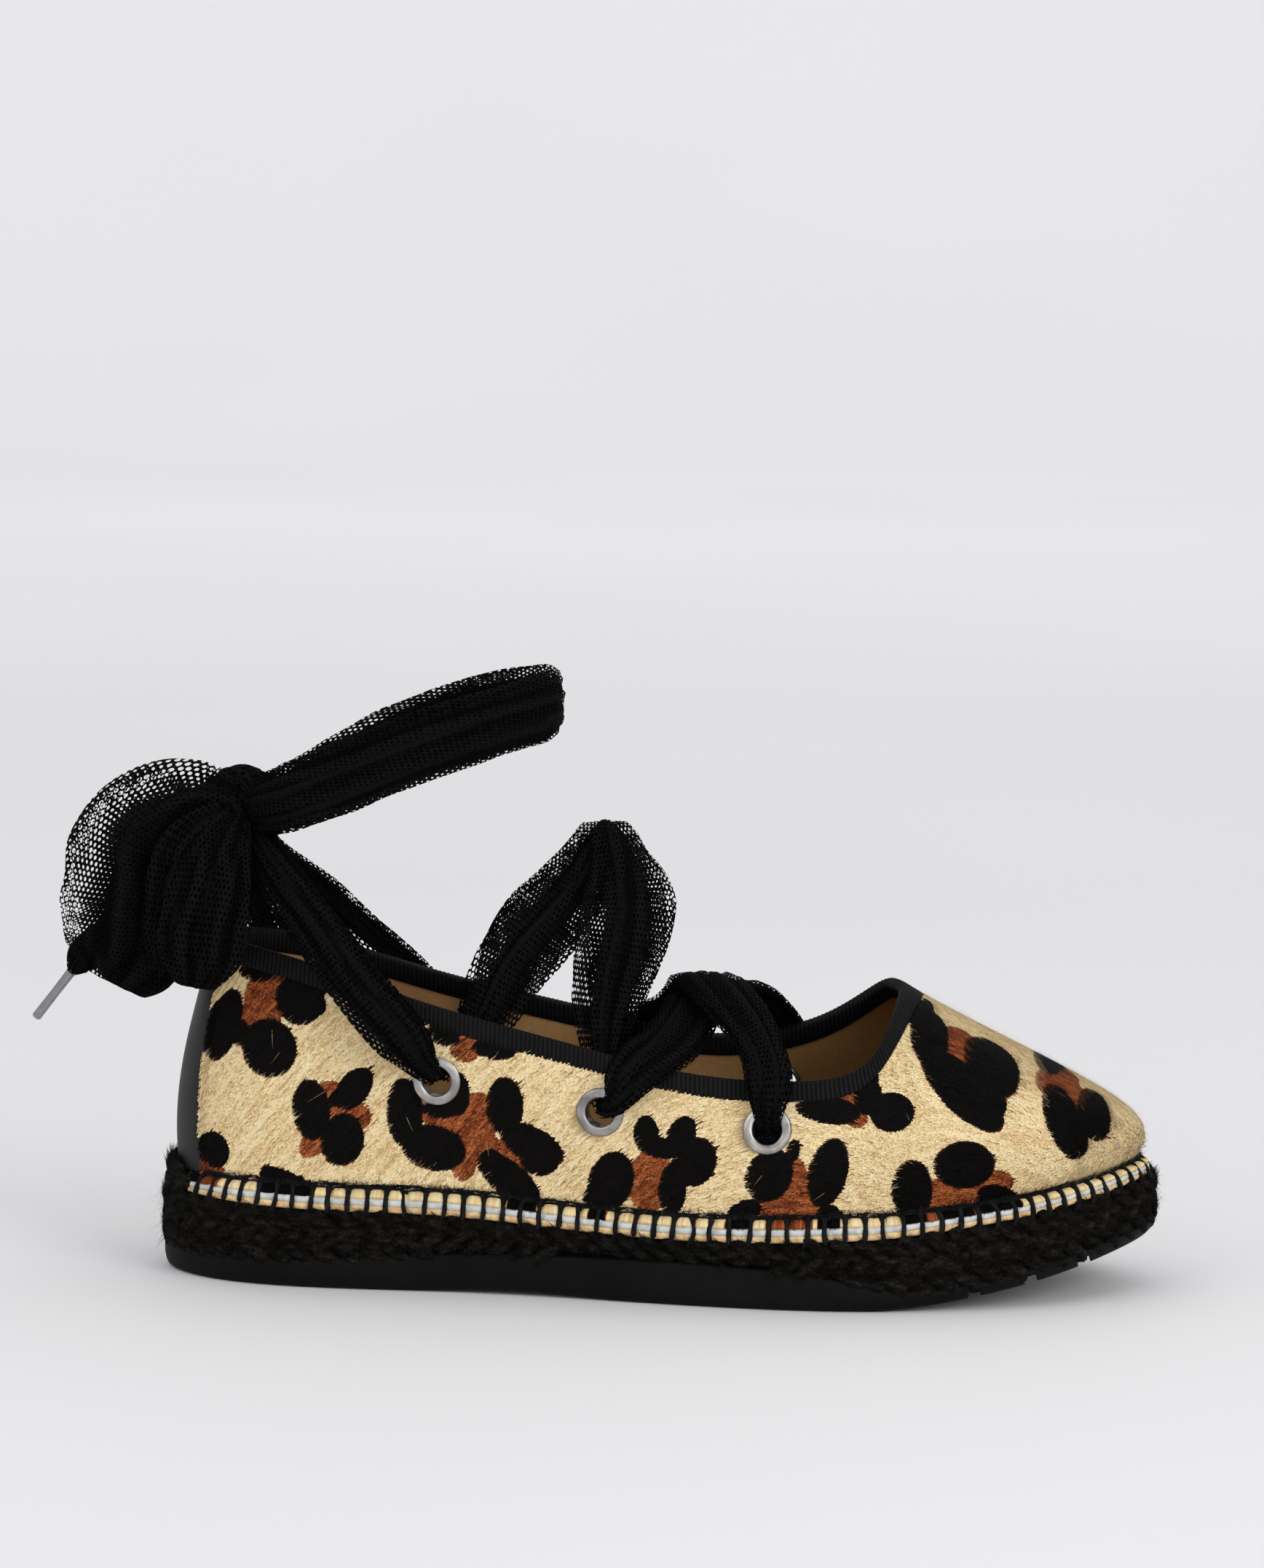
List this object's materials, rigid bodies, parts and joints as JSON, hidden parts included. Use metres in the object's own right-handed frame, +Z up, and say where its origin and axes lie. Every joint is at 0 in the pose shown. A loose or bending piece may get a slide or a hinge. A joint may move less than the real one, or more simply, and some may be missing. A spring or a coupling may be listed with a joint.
{
  "type": "ballet flat",
  "caption": "Right-foot ballet flat with a hair-on leather upper, jute and rubber sole, and tulle ribbon laced through eyelets and tied in a bow behind the ankle.",
  "frame": {"origin": "on the floor, below the middle of the shoe without its free laces", "axes": "+X from heel to toe, +Y towards the inner (medial) side of the foot, +Z up"},
  "size_m": [0.2859, 0.0893, 0.1485],
  "materials": {
    "rubber": "matt moulded",
    "jute": "dyed black braid",
    "lining": "smooth tan lining",
    "hair_on_leather": "short hair, leopard pattern",
    "heel_leather": "smooth black",
    "eyelet_metal": "brushed nickel",
    "tulle": "black hexagonal net",
    "lace_tip": "clear film over dark net"
  },
  "bodies": {
    "root": {"outsole": "rubber", "midsole": "jute", "insole": "lining", "upper": "hair_on_leather", "heel_counter": "heel_leather", "eyelet_lateral_front": "eyelet_metal", "eyelet_lateral_middle": "eyelet_metal", "eyelet_lateral_rear": "eyelet_metal", "eyelet_medial_front": "eyelet_metal", "eyelet_medial_middle": "eyelet_metal", "eyelet_medial_rear": "eyelet_metal", "lace_bar": "tulle", "lace_cross_front": "tulle", "lace_cross_rear": "tulle", "lace_knot": "tulle", "lace_strand_lateral": "tulle", "lace_strand_medial": "tulle", "lace_ankle_loop": "tulle", "lace_bow_large": "tulle", "lace_bow_small": "tulle", "lace_end_lateral": "tulle", "lace_end_medial": "tulle", "lace_tip_lateral": "lace_tip", "lace_tip_medial": "lace_tip"}
  },
  "joints": []
}
